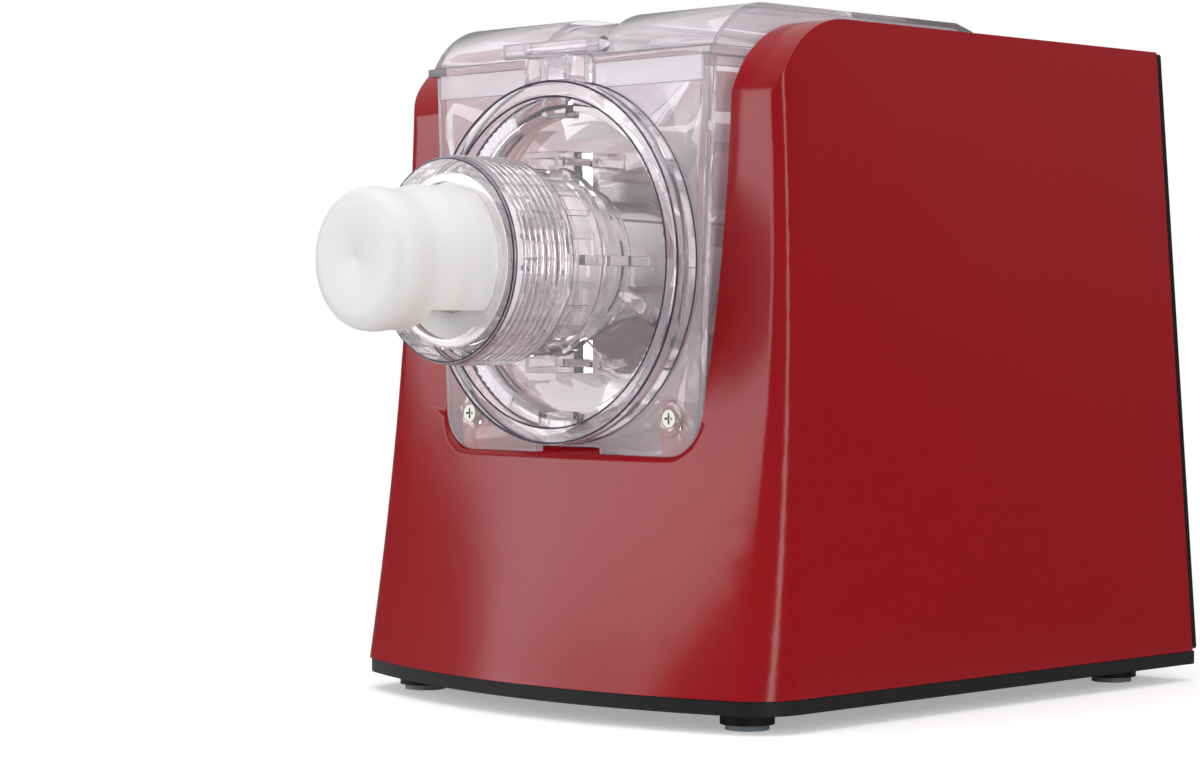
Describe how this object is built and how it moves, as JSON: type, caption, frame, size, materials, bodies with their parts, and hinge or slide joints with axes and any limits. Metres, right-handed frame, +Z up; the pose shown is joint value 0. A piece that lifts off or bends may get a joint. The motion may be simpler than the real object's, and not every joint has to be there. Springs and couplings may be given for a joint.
{
  "type": "electric pasta maker",
  "caption": "Countertop electric pasta maker: glossy housing, clear mixing chamber with hinged lid, and a front auger barrel whose ring nut holds an extruding die head.",
  "frame": {"origin": "middle of the overall bounding box, on the floor", "axes": "+X to the right seen from the front, +Y from the front to the back, +Z up; the die head points to -Y"},
  "size_m": [0.26, 0.412, 0.305],
  "materials": {
    "red_gloss": "high gloss moulded and painted plastic",
    "black_grain": "fine grained moulded plastic",
    "smoked_clear": "smoked clear moulded plastic",
    "clear": "clear moulded plastic",
    "white_plastic": "satin white moulded plastic",
    "dark_window": "dark clear window",
    "grey_keys": "satin light grey plastic",
    "foot_rubber": "translucent grey rubber",
    "seal_rubber": "grey silicone",
    "steel": "bright turned steel",
    "screw_steel": "zinc plated steel",
    "cast_alloy": "die cast, as cast",
    "gear_plastic": "natural acetal",
    "brass": "sintered bush, oiled",
    "copper_winding": "varnished copper wire",
    "lamination": "stacked electrical steel",
    "can_steel": "zinc plated sheet",
    "board_green": "solder resist over glass laminate",
    "component_dark": "moulded component cases",
    "wire": "insulated wire"
  },
  "bodies": {
    "housing": {"housing_shell": "red_gloss", "base_plate": "black_grain", "rear_cover": "black_grain", "rear_cover_screws": "screw_steel", "base_screws": "screw_steel", "foot_cups": "black_grain", "foot_pads": "foot_rubber", "power_inlet": "black_grain", "inlet_pins": "steel", "inlet_screws": "screw_steel", "mixing_chamber": "smoked_clear", "chamber_screws": "screw_steel", "shaft_seal": "seal_rubber", "lid_switch": "component_dark", "gearbox_front": "cast_alloy", "gearbox_rear": "cast_alloy", "gearbox_bushes": "brass", "gearbox_screws": "screw_steel", "motor_can": "can_steel", "motor_front_end": "cast_alloy", "motor_rear_end": "cast_alloy", "motor_bearings": "steel", "stator": "lamination", "stator_coils": "copper_winding", "motor_mount": "can_steel", "mount_screws": "screw_steel", "control_panel": "black_grain", "display_window": "dark_window", "panel_board": "board_green", "panel_board_screws": "screw_steel", "key_switches": "component_dark", "display_module": "component_dark", "power_board": "board_green", "board_components": "component_dark", "mains_leads": "wire", "motor_leads": "wire"},
    "drive_output": {"output_shaft": "steel", "output_gear": "gear_plastic", "auger": "white_plastic", "mixing_paddle": "white_plastic"},
    "drive_step": {"step_shaft": "steel", "step_wheel": "gear_plastic", "step_pinion": "steel"},
    "drive_motor": {"motor_shaft": "steel", "rotor": "lamination", "motor_pinion": "steel", "motor_fan": "component_dark"},
    "lid": {"lid": "smoked_clear", "lid_hinge_pins": "steel"},
    "cover": {"front_cover": "clear"},
    "head": {"die_head": "white_plastic", "die": "white_plastic"},
    "nut": {"ring_nut": "clear"},
    "power_key": {"power_button": "grey_keys"},
    "start_key": {"start_button": "grey_keys"},
    "program_key": {"program_button": "grey_keys"},
    "timer_key": {"timer_button": "grey_keys"},
    "switch_plunger": {"lid_switch_plunger": "white_plastic"}
  },
  "joints": [
    {"name": "output_spin", "type": "hinge", "parent": "housing", "child": "drive_output", "pos_m": [0, 0.115, 0.1955], "axis": [0, 1, 0], "continuous": true},
    {"name": "step_spin", "type": "hinge", "parent": "housing", "child": "drive_step", "pos_m": [0, 0.115, 0.1075], "axis": [0, 1, 0], "continuous": true},
    {"name": "motor_spin", "type": "hinge", "parent": "housing", "child": "drive_motor", "pos_m": [0, 0.115, 0.06187], "axis": [0, 1, 0], "continuous": true},
    {"name": "lid_hinge", "type": "hinge", "parent": "housing", "child": "lid", "pos_m": [0, 0.0824, 0.294], "axis": [-1, 0, 0], "range_deg": [0, 92]},
    {"name": "cover_turn", "type": "hinge", "parent": "housing", "child": "cover", "pos_m": [0, -0.085, 0.1955], "axis": [0, 1, 0], "range_deg": [0, 30]},
    {"name": "head_slide", "type": "slide", "parent": "cover", "child": "head", "axis": [0, -1, 0], "range_m": [0, 0.018]},
    {"name": "nut_turn", "type": "hinge", "parent": "head", "child": "nut", "pos_m": [0, -0.13, 0.1955], "axis": [0, -1, 0], "range_deg": [0, 1080]},
    {"name": "power_press", "type": "slide", "parent": "housing", "child": "power_key", "axis": [0, 0, -1], "range_m": [0, 0.0012], "stiffness_N_per_m": 400, "springref_m": -0.001},
    {"name": "start_press", "type": "slide", "parent": "housing", "child": "start_key", "axis": [0, 0, -1], "range_m": [0, 0.0012], "stiffness_N_per_m": 400, "springref_m": -0.001},
    {"name": "program_press", "type": "slide", "parent": "housing", "child": "program_key", "axis": [0, 0, -1], "range_m": [0, 0.0012], "stiffness_N_per_m": 400, "springref_m": -0.001},
    {"name": "timer_press", "type": "slide", "parent": "housing", "child": "timer_key", "axis": [0, 0, -1], "range_m": [0, 0.0012], "stiffness_N_per_m": 400, "springref_m": -0.001},
    {"name": "plunger_press", "type": "slide", "parent": "housing", "child": "switch_plunger", "axis": [0, 1, 0], "range_m": [0, 0.0015], "stiffness_N_per_m": 200, "springref_m": -0.001}
  ],
  "couplings": [
    {"joint": "step_spin", "follows": "output_spin", "ratio": -5.2857},
    {"joint": "motor_spin", "follows": "output_spin", "ratio": 24.396},
    {"joint": "head_slide", "follows": "nut_turn", "m_per_rad": 0.00095493}
  ]
}
